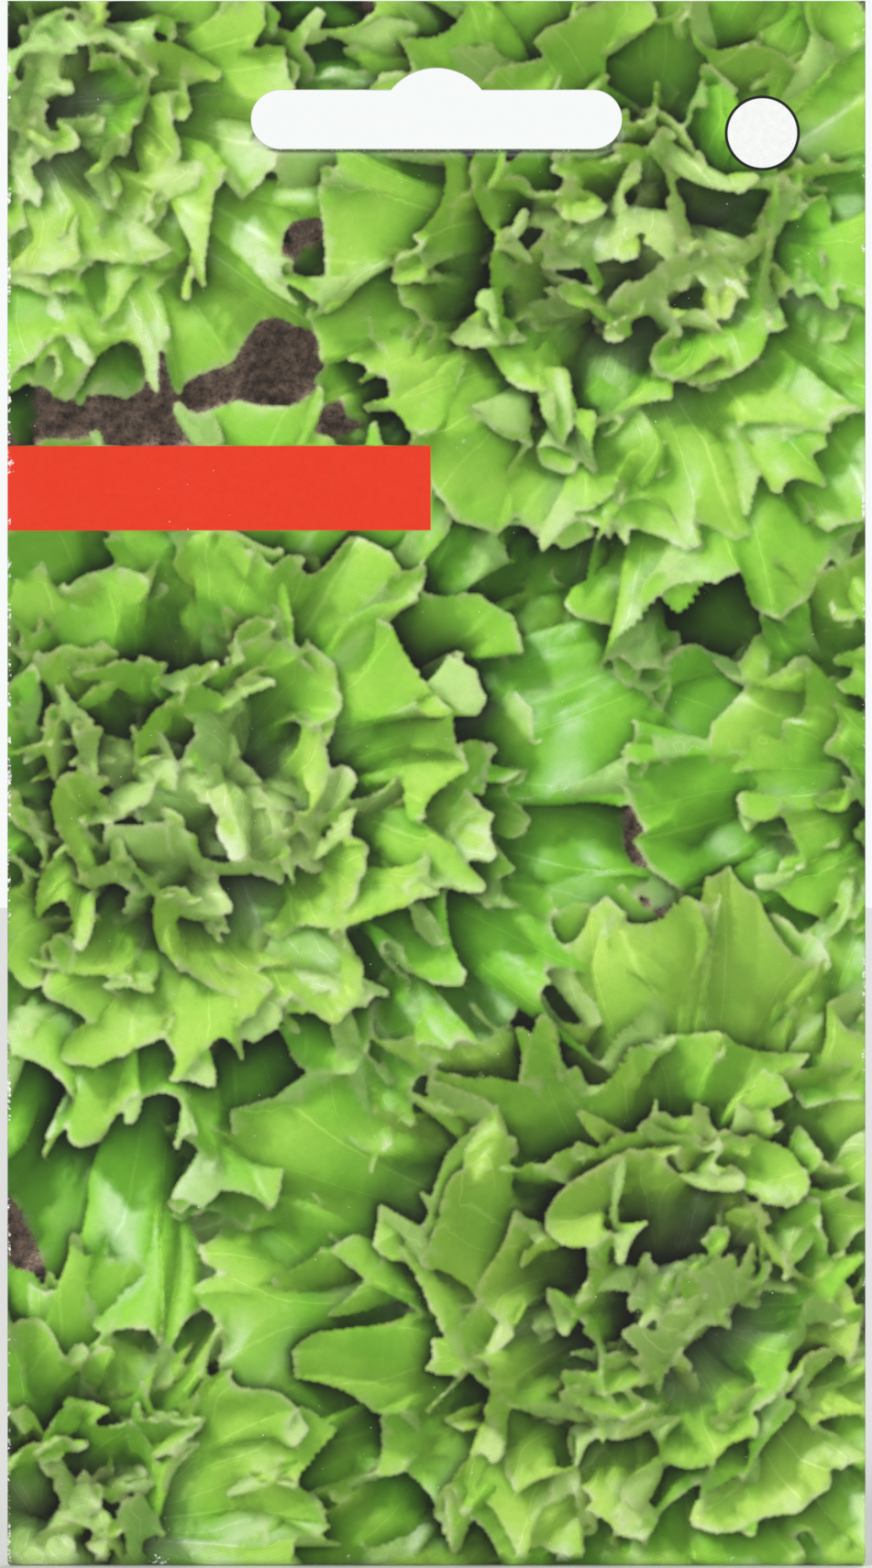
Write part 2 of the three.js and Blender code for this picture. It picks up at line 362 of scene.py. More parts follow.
    def close_pinholes(self):
        """The picture's shape and marks, its missed pixels filled from the lowest leaf beside them."""
        height = self.height.reshape(self.shape)
        closed = height
        for pick in (np.maximum, np.maximum, np.minimum, np.minimum):
            for axis in (0, 1):
                closed = pick(closed, pick(np.roll(closed, 1, axis), np.roll(closed, -1, axis)))
        pits = closed > height + PIT_DEPTH
        serial = np.arange(height.size).reshape(self.shape)
        while pits.any():
            lowest = np.full(self.shape, np.inf)
            source = serial.copy()
            for move in ((0, 1), (0, -1), (1, 0), (-1, 0)):
                beside = np.roll(height, move, (0, 1))
                better = pits & ~np.roll(pits, move, (0, 1)) & (beside < lowest)
                lowest[better] = beside[better]
                source[better] = np.roll(serial, move, (0, 1))[better]
            filled = source != serial
            for layer in (self.height, self.normal, self.marks):
                layer[serial[filled]] = layer[source[filled]]
            pits &= ~filled
        return height, self.normal.reshape(*self.shape, 3), self.marks.reshape(*self.shape, MARKS)

    def shaded(self):
        """The picture's layers: its colours in soft sun, its soil, and where its veins run."""
        height, normal, marks = self.close_pinholes()
        soil = height < NO_LEAF / 2
        clods = CLOD_RISE * clouds(self.rng, self.shape, CLOD_SIZE, 4) - SOIL_DEPTH
        height = np.where(soil, clods, height)
        slope_y, slope_x = np.gradient(clods, PIXEL)
        ground = np.dstack([-slope_x, -slope_y, np.ones(self.shape)])
        ground /= np.linalg.norm(ground, axis=2, keepdims=True)
        normal = np.where(soil[..., None], ground, normal)

        facing = normal @ LIGHT
        shadow = np.zeros(self.shape)
        for away in SHADOW_STEPS:
            down, right = (-round(away * LIGHT[axis] / LIGHT_LEVEL) for axis in (1, 0))
            rise = away * PIXEL * LIGHT[2] / LIGHT_LEVEL
            blocker = np.roll(height, (down, right), (0, 1)) - height - rise
            shadow = np.maximum(shadow, np.clip(blocker / (0.25 + 0.02 * away), 0, 1))
        shadow = blur(shadow, 0.25)
        open_sky = np.ones(self.shape)
        for reach, weight in SKY_REACHES:
            open_sky *= np.exp(-weight * np.clip(blur(height, reach) - height, 0, None))
        open_sky = np.where(soil, np.maximum(open_sky, SOIL_SKY), open_sky)

        colour = self.leaf_colour(marks)
        crumbs = 0.45 + 0.9 * clouds(self.rng, self.shape, CRUMB_SIZE, 3)
        colour = np.where(soil[..., None], SOIL_BROWN * crumbs[..., None], colour)
        direct = np.clip(facing, 0, 1) * (1 - SHADOW_DARK * shadow)
        sky = 0.5 + 0.5 * normal[..., 2]
        fill = 0.22 * np.clip(0.5 + 0.5 * facing, 0, 1) * open_sky + 0.34 * sky * open_sky ** 1.5
        through = np.clip(0.25 - facing, 0, 1) * (1 - 0.6 * shadow) * ~soil
        halfway = LIGHT + np.array([0, 0, 1])
        mirrored = np.clip(normal @ (halfway / np.linalg.norm(halfway)), 0, 1)
        gloss = mirrored ** GLOSS_POWER * (1 - shadow) * ~soil
        light = colour * (1.45 * direct + fill)[..., None] * open_sky[..., None] ** 0.8
        light += colour * THROUGH_TINT * (0.5 * through * open_sky)[..., None]
        light += GLOSS_TINT * (0.34 * gloss * open_sky)[..., None]
        printed = self.cleaned(np.dstack([1 - np.exp(-EXPOSURE * light), soil]))
        return np.dstack([printed, marks[..., FAN], marks[..., OUT], self.vein_strength(marks, soil)])

    def vein_strength(self, marks, soil):
        """Where veins can show: not on soil, on rims or where one leaf hides another."""
        broken = soil | (marks[..., RIM] > 0.2)
        for layer, jump in ((FAN, 0.4), (OUT, 1.2)):
            for axis in (0, 1):
                broken |= np.abs(np.roll(marks[..., layer], 1, axis) - marks[..., layer]) > jump
        return np.clip(1 - 2.5 * blur(broken.astype(np.float32), 2 * PIXEL), 0, 1)

    def leaf_colour(self, marks):
        """The leaves' own colour, by leaf and reach, and paler at base, midrib, rim and underside."""
        mottle = clouds(self.rng, self.shape, MOTTLE_SIZE, 3) - 0.5
        tone = 0.45 + marks[..., TONE] + 0.25 * (marks[..., REACH] - 0.5) + 0.35 * mottle
        tone = np.clip(tone, 0, 1)[..., None]
        darker = LEAF_DEEP + (LEAF_MID - LEAF_DEEP) * tone * 2
        lighter = LEAF_MID + (LEAF_LIME - LEAF_MID) * (tone - 0.5) * 2
        colour = np.where(tone < 0.5, darker, lighter)
        for share, other in ((0.6 * np.clip(1.1 - 1.7 * marks[..., REACH], 0, 1), LEAF_PALE),
                             (0.42 * marks[..., RIB], LEAF_PALE),
                             (0.75 * marks[..., RIM], LEAF_RIM)):
            colour = colour + (other - colour) * share[..., None]
        under = marks[..., UNDER, None] > 0.5
        return np.where(under, 0.72 * colour + 0.26 * LEAF_UNDERSIDE, colour)

    def cleaned(self, picture):
        """The picture without single stray pixels, and slightly softened as print is."""
        moves = [(down, right) for down in (-1, 0, 1) for right in (-1, 0, 1)]
        picture = np.median(np.stack([np.roll(picture, move, (0, 1)) for move in moves]), axis=0)
        for axis in (0, 1):
            picture = picture / 2 + (np.roll(picture, 1, axis) + np.roll(picture, -1, axis)) / 4
        return picture.astype(np.float32)


def lettuce_picture():
    """Heads in a zigzag over brown soil, a few cut by the packet's edges."""
    picture = Picture(WIDTH + 2 * BLEED, V_END + 2 * BLEED, PICTURE_SEED)
    for head in HEADS:
        picture.add_head(*head)
    return picture.shaded()


# The sheet's shape
def slot_distance(x, z):
    """How far places on the packet are outside the hang slot, negative inside it."""
    past = np.maximum(np.abs(x) - (SLOT_WIDTH / 2 - SLOT_HALF), 0)
    crown = np.where(z > 0, np.hypot(x, z - CROWN_Z) - CROWN_RADIUS, SLOT_HALF)
    return np.minimum(np.hypot(past, z) - SLOT_HALF, crown)


def slot_outline(spacing=0.25):
    """The hang slot's outline, anticlockwise from the lower end of its right round."""
    half = SLOT_HALF
    end_x = SLOT_WIDTH / 2 - half
    crown_turn = math.asin((half - CROWN_Z) / CROWN_RADIUS)
    crown_x = CROWN_RADIUS * math.cos(crown_turn)

    def arc(x, z, radius, begin, finish):
        turn = np.linspace(begin, finish, round(abs(finish - begin) * radius / spacing) + 1)
        return np.stack([x + radius * np.cos(turn), z + radius * np.sin(turn)], 1)

    def line(begin, finish, z):
        places = np.linspace(begin, finish, round(abs(finish - begin) / spacing) + 1)[1:-1]
        return np.stack([places, np.full_like(places, z)], 1)

    return np.concatenate([
        arc(end_x, 0, half, -math.pi / 2, math.pi / 2), line(end_x, crown_x, half),
        arc(0, CROWN_Z, CROWN_RADIUS, crown_turn, math.pi - crown_turn), line(-crown_x, -end_x, half),
        arc(-end_x, 0, half, math.pi / 2, 1.5 * math.pi), line(-end_x, end_x, -half)])


def pillow(x, z):
    """Share of the full bulge at a place on the packet."""
    height = np.clip((z - FOLD_Z) / (POCKET_TOP_Z - FOLD_Z), 0, 1)
    return np.maximum(0, 1 - (x / SIDE_X) ** 2) * np.sin(math.pi * height ** BULGE_LEAN)


def seed_bumps(count=70, seed=4):
    """Places, directions and heights of seeds that show through the paper."""
    rng = np.random.default_rng(seed)
    low, high = (np.array(corner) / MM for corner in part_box("seeds"))
    places = rng.uniform((low[0] + 4, low[2] + 2), (high[0] - 4, high[2] - 1), (count, 2))
    return [(x, z, rng.uniform(0, math.pi), rng.uniform(0.03, 0.12)) for x, z in places]


SEED_BUMPS = seed_bumps()
FRONT_RELIEF = {"pucker": 0.11, "phase": 0.0, "press": 1.0}
BACK_RELIEF = {"pucker": 0.17, "phase": 1.3, "press": 0.35}
LIP_DEPTH = 0.16
LIP_FADE = 0.3
LIP_END = 1.2
LIP_EASE = 1.5

# Painted shade along the slot's lower edge, each line its distance from it, width, largest share and tint:
# a painted highlight on the pressed-back lip, a painted shadow under the edge, and painted light on the
# edge itself
SLOT_SHADE_LINES = ((0.52, 0.14, 0.13, PAPER_WHITE), (0.15, 0.18, 0.95, linear(66, 74, 62)),
               (0.0, 0.05, 0.3, linear(196, 196, 186)))


def paper_relief(x, z, pucker, phase, press):
    """Soft waves of slack paper, puckers at the pocket's rim and bumps over seeds."""
    waves = 0.10 * np.sin(x / 7.3 + 0.02 * z + phase) * np.sin(z / 11 + 0.6)
    waves += 0.06 * np.sin(x / 3.9 - z / 8.1 + 1.7 + 2 * phase)
    for from_rim, along, pitch, reach in ((SIDE_X - x, z, 9.0, 6), (SIDE_X + x, z, 10.5, 6),
                                          (POCKET_TOP_Z - z, x, 8.5, 9), (z - FOLD_Z, x, 7.5, 7)):
        wander = 0.9 * np.sin(along / 11 + 3 * phase)
        fade = np.exp(-np.maximum(from_rim, 0) / reach)
        waves += pucker * fade * np.sin(2 * math.pi * along / pitch + wander)
    bumps = np.zeros_like(x)
    for middle_x, middle_z, turn, tall in SEED_BUMPS:
        along = (x - middle_x) * math.cos(turn) + (z - middle_z) * math.sin(turn)
        across = (z - middle_z) * math.cos(turn) - (x - middle_x) * math.sin(turn)
        bumps = np.maximum(bumps, tall * np.exp(-(along / 1.7) ** 2 - (across / 0.75) ** 2))
    return waves + press * bumps


def slot_lip(x, z):
    """The punched lower edge of the slot, pressed back a little through all layers."""
    below = np.maximum(-SLOT_HALF - z, 0)
    inside = smooth((SLOT_WIDTH / 2 - LIP_END - np.abs(x)) / LIP_EASE)
    return np.where(z < 0, LIP_DEPTH * np.exp(-below / LIP_FADE) * inside, 0)


def paint_slot_shade(colours, s, v):
    """The front's colours with a painted shadow and painted highlights along the slot's lower edge."""
    lower = smooth(v - TOP_Z - 0.5) * ((s > S_FRONT) & (s < S_RIGHT))
    away = from_slot(s, v)
    for middle, width, most, tint in SLOT_SHADE_LINES:
        share = most * lower * np.exp(-((away - middle) / width) ** 2)
        colours = colours + (tint - colours) * share[:, None]
    return colours


def front_x(s):
    """Where a place across the sheet shows on the packet, left to right from the front."""
    on_back = np.where(s < S_LEFT, LAP_HALF - s, SIDE_X - (s - S_BACK))
    return np.where((s < S_LEFT) | (s > S_BACK), on_back, np.clip(s - S_FRONT - SIDE_X, -SIDE_X, SIDE_X))


def from_slot(s, v):
    """How far places on the flat sheet are outside the hang slot."""
    return slot_distance(front_x(s), TOP_Z - v)


def fold_sheet(s, v, level):
    """Places of the flat sheet in the finished packet, at a level from its tube's middle."""
    left = (s > S_LEFT) & (s < S_FRONT)
    right = (s > S_RIGHT) & (s < S_BACK)
    front = (s >= S_FRONT) & (s <= S_RIGHT)
    turn = np.where(left, (s - S_LEFT) / SIDE_RUN, np.where(right, (S_BACK - s) / SIDE_RUN, 0)) * math.pi
    sideways = np.where(left, -1, 1) * (SIDE_X + level * np.sin(turn))
    x = np.where(left | right, sideways, front_x(s))
    y = np.where(front, -level, level * np.cos(turn))
    lap = np.clip((LAP_HALF + 1.5 * SEAM_STEP - x) / SEAM_STEP, 0, 1)
    y = y + np.where(s >= S_BACK, LAP_RISE * lap, 0)

    over = np.clip(v - V_FOLD, 0, V_FLAP - V_FOLD) / FOLD_AXIS_Y
    lift = np.where(v <= V_FOLD, V_FOLD - v, np.maximum(v - V_FLAP, 0))
    reach = FOLD_AXIS_Y - y
    z = FOLD_Z + lift - reach * np.sin(over)
    y = FOLD_AXIS_Y - reach * np.cos(over)
    standing_front = front & (v <= V_FOLD)
    share = pillow(x, z)
    swell = np.where(standing_front, -FRONT_BULGE, BACK_BULGE) * share
    slack = np.where(standing_front, -paper_relief(x, z, **FRONT_RELIEF), paper_relief(x, z, **BACK_RELIEF))
    slack = slack * np.minimum(1, 4 * share)
    return np.stack([x, y + swell + slack + slot_lip(x, z), z], 1)


def wear(s, v):
    """How worn the print is: most along the left fold, less along other folds and cut edges."""
    fold_left = np.abs(s - (S_LEFT + S_FRONT) / 2) - SIDE_RUN / 2
    fold_right = np.abs(s - (S_RIGHT + S_BACK) / 2) - SIDE_RUN / 2
    fold_low = np.abs(v - (V_FOLD + V_FLAP) / 2) - (V_FLAP - V_FOLD) / 2
    edges = np.minimum(np.minimum(s, S_END - s), np.minimum(v, V_END - v))
    slot = np.abs(from_slot(s, v))
    places = ((fold_left, 1.0, 0.35), (fold_right, 0.88, 0.2), (fold_low, 0.8, 0.15),
              (edges, 0.9, 0.06), (slot, 0.82, 0.06))
    return np.max([most * np.exp(-np.maximum(away, 0) / reach) for away, most, reach in places], axis=0)


# Flat inks: each has a test, a colour and the lines that its edge needs
INK_EDGE = 0.015
LINE_STEP = 2.5
SHEET_MARGIN = 0.3
SIDE_MARKS = np.concatenate([np.linspace(S_LEFT, S_FRONT, 6), np.linspace(S_RIGHT, S_BACK, 6)])
BAND_RIGHT, BAND_TOP, BAND_BOTTOM = 36.5, 38.4, 45.7
DISC_X, DISC_Y, DISC_RADIUS, RING = 65.1, 11.4, 3.25, 0.26
FRONT_INKS = 3
FRONT_WRAP = 1.2
FLAP_WRAP = 1.5
BEYOND = 1.0
MONTHS = 12
CALENDAR_HALF = 30.0
CALENDAR_BARS = ((33.0, 2, 6, BACK_GREEN), (37.4, 4, 9, BACK_AMBER))
BAR_HEIGHT = 3.6
BAR_GAP = 0.15
PANELS = ((-31, 31, 48, 96), (3, 31, 100.5, 116.5))
PANEL_LINE = 0.4


def print_s(x):
    """Across the sheet, for a place right of the front's left edge."""
    return x + S_FRONT - OUTER


def within(places, low, high):
    """Which places on the sheet lie between two corners."""
    return np.all((places > low) & (places < high), axis=-1)


class InkBox:
    """A rectangle of flat ink on the sheet, which may run off its edges."""

    def __init__(self, s0, s1, v0, v1, colour):
        self.low = np.array([s0, v0])
        self.high = np.array([s1, v1])
        self.colour = colour

    def covers(self, places):
        return within(places, self.low, self.high)

    def lines(self):
        """Points just inside and outside each side that lies on the sheet."""
        end = np.array([S_END, V_END]) - SHEET_MARGIN
        for grow in (-INK_EDGE, INK_EDGE):
            low = self.low - grow
            high = self.high + grow
            for axis, value in ((0, low[0]), (0, high[0]), (1, low[1]), (1, high[1])):
                if not SHEET_MARGIN < value < end[axis]:
                    continue
                along = 1 - axis
                first = max(low[along], SHEET_MARGIN)
                last = min(high[along], end[along])
                places = np.linspace(first, last, math.ceil((last - first) / LINE_STEP) + 1)
                if along == 0:
                    folds = SIDE_MARKS[(SIDE_MARKS > first + 0.01) & (SIDE_MARKS < last - 0.01)]
                    places = np.union1d(places, folds)
                line = np.full((len(places), 2), value)
                line[:, along] = places
                yield line


class InkDisc:
    """A disc of flat ink on the front."""

    def __init__(self, x, y, radius, colour):
        self.middle = np.array([print_s(x), y])
        self.radius = radius
        self.colour = colour

    def covers(self, places):
        return np.linalg.norm(places - self.middle, axis=-1) < self.radius

    def lines(self, points=121):
        turn = np.linspace(0, 2 * math.pi, points)
        for grow in (-INK_EDGE, INK_EDGE):
            yield self.middle + (self.radius + grow) * np.stack([np.cos(turn), np.sin(turn)], 1)


def back_boxes():
    """The back's plain design: left, right, top and bottom as seen from the front, and a colour."""
    cell = 2 * CALENDAR_HALF / MONTHS
    yield -WIDTH, WIDTH, -BEYOND, 19.0, BACK_GREEN
    yield -WIDTH, WIDTH, 19.8, 20.4, BACK_GREEN
    for month in range(MONTHS):
        right = CALENDAR_HALF - month * cell
        yield right - cell, right, 28.0, 32.0, BACK_TINT if month % 2 else DISC_WHITE
        for top, first, last, colour in CALENDAR_BARS:
            filled = first <= month <= last
            bar = (right - cell + BAR_GAP, right - BAR_GAP, top, top + BAR_HEIGHT)
            yield *bar, colour if filled else BACK_TINT
    for left, right, top, bottom in PANELS:
        yield left, right, top, bottom, BACK_GREEN
        yield left + PANEL_LINE, right - PANEL_LINE, top + PANEL_LINE, bottom - PANEL_LINE, DISC_WHITE
    yield -31, -3, 100.5, 116.5, BACK_TINT


def sheet_inks():
    """Every flat ink in printing order, with those on the front last."""
    wrap_left = S_LEFT - FRONT_WRAP
    wrap_right = S_BACK + FRONT_WRAP
    inks = [InkBox(-BEYOND, wrap_left, -BEYOND, V_END + BEYOND, BACK_GROUND),
            InkBox(wrap_right, S_END + BEYOND, -BEYOND, V_END + BEYOND, BACK_GROUND)]
    for left, right, top, bottom, colour in back_boxes():
        low, high = max(left, FRONT_WRAP - SIDE_X), min(right, SIDE_X - FRONT_WRAP)
        if low < LAP_HALF:
            inks.append(InkBox(LAP_HALF - high, LAP_HALF - low, top, bottom, colour))
        if high > -LAP_HALF:
            inks.append(InkBox(S_BACK + SIDE_X - high, S_BACK + SIDE_X - low, top, bottom, colour))
    return inks + [InkBox(wrap_left, wrap_right, V_FLAP + FLAP_WRAP, V_END + BEYOND, BACK_GREEN),
                   InkBox(wrap_left, print_s(BAND_RIGHT), BAND_TOP, BAND_BOTTOM, BAND_RED),
                   InkDisc(DISC_X, DISC_Y, DISC_RADIUS, RING_BLACK),
                   InkDisc(DISC_X, DISC_Y, DISC_RADIUS - RING, DISC_WHITE)]


def picture_layers(picture, places):
    """The picture at places on the sheet: colours and soil blended, veins at the nearest pixel."""
    column = np.clip((places[:, 0] - print_s(0) + BLEED) / PIXEL - 0.5, 0, picture.shape[1] - 1.001)
    row = np.clip((places[:, 1] + BLEED) / PIXEL - 0.5, 0, picture.shape[0] - 1.001)
    i = row.astype(np.int32)
    j = column.astype(np.int32)
    blended = blend(picture[..., :4], i, j, (row - i)[:, None], (column - j)[:, None])
    return blended, picture[np.rint(row).astype(np.int32), np.rint(column).astype(np.int32), 4:]


# The sheet's mesh: points on the flat sheet, joined by triangles, then folded
PICTURE_POINTS = 79000
PLAIN_SHARE = 0.01
TONE_WEIGHTS = np.array([0.3, 0.6, 0.1])
CHANGE_POWER = 1.1
HALVINGS = 40
SLOT_CLEAR = 0.08
LIP_STEP = 0.4
LIP_ROWS = np.array([0.16, 0.34, 0.6, 0.9])
FRONT_LIP_ROWS = np.array([0.09, 0.24, 0.46])

# Steps that spread values evenly over a grid, from the root of x^3 = x + 1
EVEN_ACROSS = 0.7548776662
EVEN_DOWN = 0.5698402909


def picture_points(picture):
    """Points on the front, closest together where the picture's tones turn sharply."""
    tone = np.sqrt(np.clip(picture[..., :3] @ TONE_WEIGHTS, 0, 1))
    near = np.pad(tone, 1, mode="edge")
    bend_down = near[2:, 1:-1] + near[:-2, 1:-1] - 2 * tone
    bend_right = near[1:-1, 2:] + near[1:-1, :-2] - 2 * tone
    twist = (near[2:, 2:] + near[:-2, :-2] - near[2:, :-2] - near[:-2, 2:]) / 4
    change = np.abs(bend_down + bend_right) / 2 + np.hypot((bend_down - bend_right) / 2, twist)
    rows, columns = np.indices(change.shape)
    places = np.stack([print_s((columns + 0.5) * PIXEL - BLEED), (rows + 0.5) * PIXEL - BLEED], 2)
    gap = PIXEL / 2
    inside = within(places, (S_FRONT + gap, gap), (S_RIGHT - gap, V_FOLD - gap))
    for ink in sheet_inks()[-FRONT_INKS:]:
        inside &= ~ink.covers(places)
    few, many = 0.0, 1000.0
    for _ in range(HALVINGS):
        scale = (few + many) / 2
        share = np.clip(PLAIN_SHARE + scale * change ** CHANGE_POWER, 0, 1) * inside
        few, many = (scale, many) if share.sum() < PICTURE_POINTS else (few, scale)
    even = (EVEN_ACROSS * columns + EVEN_DOWN * rows) % 1
    return places[share > even]


def grid_points(across, down):
    """Points at every crossing of two sets of marks."""
    return np.stack(np.meshgrid(across, down), 2).reshape(-1, 2)


def steps(*stretches):
    """Even steps over neighbouring stretches, each a start, an end and a count."""
    runs = [np.linspace(first, last, count + 1) for first, last, count in stretches]
    return np.unique(np.concatenate(runs))


def sheet_edge():
    """The flat sheet's outline, with part of the hang slot cut from each seam edge."""
    across = steps((0, S_LEFT, 40), (S_LEFT, S_FRONT, 5), (S_FRONT, S_RIGHT, 70), (S_RIGHT, S_BACK, 5),
                   (S_BACK, S_END, 40))
    above = steps((0, TOP_Z - SLOT_HALF, 8))
    below = steps((TOP_Z + SLOT_HALF, V_FOLD, 110), (V_FOLD, V_FLAP, 8), (V_FLAP, V_END, 10))
    turned = slot_outline()[::-1]

    def notch(taken, s_of_x):
        first = np.flatnonzero(taken & ~np.roll(taken, 1))[0]
        part = np.roll(turned, -first, axis=0)[:taken.sum()]
        return np.stack([s_of_x(part[:, 0]), TOP_Z - part[:, 1]], 1)

    def column(s, down):
        return np.stack([np.full_like(down, s), down], 1)

    right_notch = notch(turned[:, 0] > 0.1 - LAP_HALF, lambda x: S_BACK + SIDE_X - x)
    left_notch = notch(turned[:, 0] < LAP_HALF - 0.1, lambda x: LAP_HALF - x)
    top = np.stack([across, np.zeros_like(across)], 1)
    bottom = np.stack([across[::-1], np.full_like(across, V_END)], 1)
    return np.concatenate([top, column(S_END, above)[1:], right_notch, column(S_END, below), bottom[1:],
                           column(0, below[::-1])[1:], left_notch, column(0, above[::-1])[:-1]])


def front_slot():
    """The hang slot's outline in the front of the flat sheet."""
    outline = slot_outline()
    return np.stack([outline[:, 0] + S_FRONT + SIDE_X, TOP_Z - outline[:, 1]], 1)


def lip_points():
    """Rows of points just below the slot, where the layers are pressed back."""
    x = np.arange(-SLOT_WIDTH / 2, SLOT_WIDTH / 2, LIP_STEP)
    front = S_FRONT + SIDE_X + x
    across = np.concatenate([front, LAP_HALF - x, S_BACK + SIDE_X - x])
    across = across[(across > SHEET_MARGIN) & (across < S_END - SHEET_MARGIN)]
    edge = TOP_Z + SLOT_HALF
    return np.concatenate([grid_points(across, edge + LIP_ROWS), grid_points(front, edge + FRONT_LIP_ROWS)])


def triangulate(loops, lines, points):
    """Triangles over the sheet that keep to loops and lines, and where each loop's points went."""
    clear = from_slot(*points.T) > SLOT_CLEAR
    places = []
    edges = []
    for chain, closed in [(loop, True) for loop in loops] + [(line, False) for line in lines]:
        first = sum(map(len, places))
        count = len(chain)
        edges += [(first + i, first + (i + 1) % count) for i in range(count if closed else count - 1)]
        places.append(chain)
    places = np.concatenate(places + [points[clear]])
    found = delaunay_2d_cdt([Vector(place) for place in places.tolist()], edges, [], 0, 1e-5)
    flat = np.array([place[:] for place in found[0]])
    triangles = np.array(found[2], np.int32)
    went = np.zeros(len(places), np.int32)
    for new, sources in enumerate(found[3]):
        went[sources] = new
    middle = flat[triangles].mean(axis=1)
    on_sheet = from_slot(*middle.T) > 0
    on_sheet |= (middle[:, 1] > HEADER) | ((middle[:, 0] > S_LEFT) & (middle[:, 0] < S_FRONT))
    ends = np.cumsum([len(loop) for loop in loops])
    return flat, triangles[on_sheet], np.split(went, ends)[:-1]


def facing_out(flat, triangles):
    """The triangles, turned to face out once the sheet is folded."""
    a, b, c = (flat[triangles[:, k]] for k in range(3))
    turned = (b[:, 0] - a[:, 0]) * (c[:, 1] - a[:, 1]) - (b[:, 1] - a[:, 1]) * (c[:, 0] - a[:, 0]) > 0
    return np.where(turned[:, None], triangles[:, ::-1], triangles)


def make_sheet(picture):
    """The folded sheet as one closed mesh: printed face, plain face and cut edges between."""
    loops = [sheet_edge(), front_slot()]
    inks = sheet_inks()
    lines = [line for ink in inks for line in ink.lines()]
    back_down = steps((0, V_FOLD, 90), (V_FOLD, V_FLAP, 8), (V_FLAP, V_END, 6))[1:-1]
    fine_down = steps((0, V_FOLD, 240), (V_FOLD, V_FLAP, 8), (V_FLAP, V_END, 12))[1:-1]
    flap_down = steps((V_FOLD, V_FLAP, 8), (V_FLAP, V_END, 9))[:-1]
    back_across = np.concatenate([np.linspace(0, S_LEFT, 32)[1:-1], np.linspace(S_BACK, S_END, 32)[1:-1]])
    points = np.concatenate([
        picture_points(picture), grid_points(back_across, back_down), grid_points(SIDE_MARKS, fine_down),
        grid_points(np.linspace(S_FRONT, S_RIGHT, 62)[1:-1], flap_down), lip_points()])
    flat, printed, rims = triangulate(loops, lines, points)
    plain_across = steps((0, S_LEFT, 22), (S_LEFT, S_FRONT, 4), (S_FRONT, S_RIGHT, 38),
                         (S_RIGHT, S_BACK, 4), (S_BACK, S_END, 22))[1:-1]
    plain_down = steps((0, V_FOLD - FLAP, 27), (V_FOLD - FLAP, V_FOLD, 8), (V_FOLD, V_FLAP, 6),
                       (V_FLAP, V_END, 8))[1:-1]
    plain_points = np.concatenate([grid_points(plain_across, plain_down), lip_points()])
    plain_flat, plain, plain_rims = triangulate(loops, [], plain_points)

    count = len(flat)
    printed = facing_out(flat, printed)
    plain = facing_out(plain_flat, plain)[:, ::-1] + count
    cut = []
    for rim, plain_rim in zip(rims, plain_rims):
        far = plain_rim + count
        ahead, far_ahead = np.roll(rim, -1), np.roll(far, -1)
        cut += [np.stack([rim, ahead, far], 1), np.stack([far, ahead, far_ahead], 1)]
    cut = np.concatenate(cut)
    places = np.concatenate([fold_sheet(*flat.T, OUTER), fold_sheet(*plain_flat.T, INNER)])
    faces = np.concatenate([printed, plain, cut])
    kinds = np.repeat([0, 1, 1], [len(printed), len(plain), len(cut)])

    colours, veins = picture_layers(picture, flat)
    for ink in inks:
        inked = ink.covers(flat)
        colours[inked] = rgba(ink.colour, 0)
        veins[inked] = 0
    # A painted shadow and painted highlights along the slot's lower edge
    colours[:, :3] = paint_slot_shade(colours[:, :3], *flat.T)
    colours = np.concatenate([colours, np.tile(rgba(PAPER_WHITE, 0), (len(plain_flat), 1))])
    veins = np.concatenate([veins, np.zeros((len(plain_flat), 3))])
    worn = np.concatenate([wear(*flat.T), np.zeros(len(plain_flat))])
    sheet_places = np.concatenate([flat, plain_flat])
    layers = (("print", "FLOAT_COLOR", "color", colours), ("veins", "FLOAT_VECTOR", "vector", veins),
              ("wear", "FLOAT", "value", worn))
    return mesh_piece("envelope_sheet", places * MM, faces, kinds, layers, sheet_places, count)


def add_object(name, data):
    """An object in the scene that shows a mesh, a light or a camera."""
    thing = bpy.data.objects.new(name, data)
    bpy.context.scene.collection.objects.link(thing)
    return thing


# The two faces' places in the baked map: lower corner and size
BAKED_PRINT = ((0.01, 0.01), (0.98, 0.88))
BAKED_PLAIN = ((0.01, 0.91), (0.98, 0.08))
SHARP_ANGLE = math.radians(45)


def mesh_piece(name, places, faces, kinds, layers, sheet_places, printed_count):
    """A mesh object with material indices, layers of values at its points, and maps."""
    mesh = bpy.data.meshes.new(name)
    mesh.vertices.add(len(places))
    mesh.vertices.foreach_set("co", places.astype(np.float32).ravel())
    mesh.loops.add(faces.size)
    mesh.loops.foreach_set("vertex_index", faces.astype(np.int32).ravel())
    mesh.polygons.add(len(faces))
    mesh.polygons.foreach_set("loop_start", np.arange(0, faces.size, 3, dtype=np.int32))
    mesh.polygons.foreach_set("material_index", kinds.astype(np.int32))
    mesh.update(calc_edges=True)
    for label, kind, field, values in layers:
        layer = mesh.attributes.new(label, kind, "POINT")
        layer.data.foreach_set(field, values.astype(np.float32).ravel())
    share = sheet_places / (S_END, V_END)
    on_print = np.arange(len(share))[:, None] < printed_count
    baked = np.where(on_print, *(corner + share * size for corner, size in (BAKED_PRINT, BAKED_PLAIN)))
    for label, values in (("OFBake", baked), ("sheet", sheet_places)):
        layer = mesh.uv_layers.new(name=label)
        layer.data.foreach_set("uv", values[faces.ravel()].astype(np.float32).ravel())
    mesh.shade_smooth()
    mesh.set_sharp_from_angle(angle=SHARP_ANGLE)
    return add_object(name, mesh)


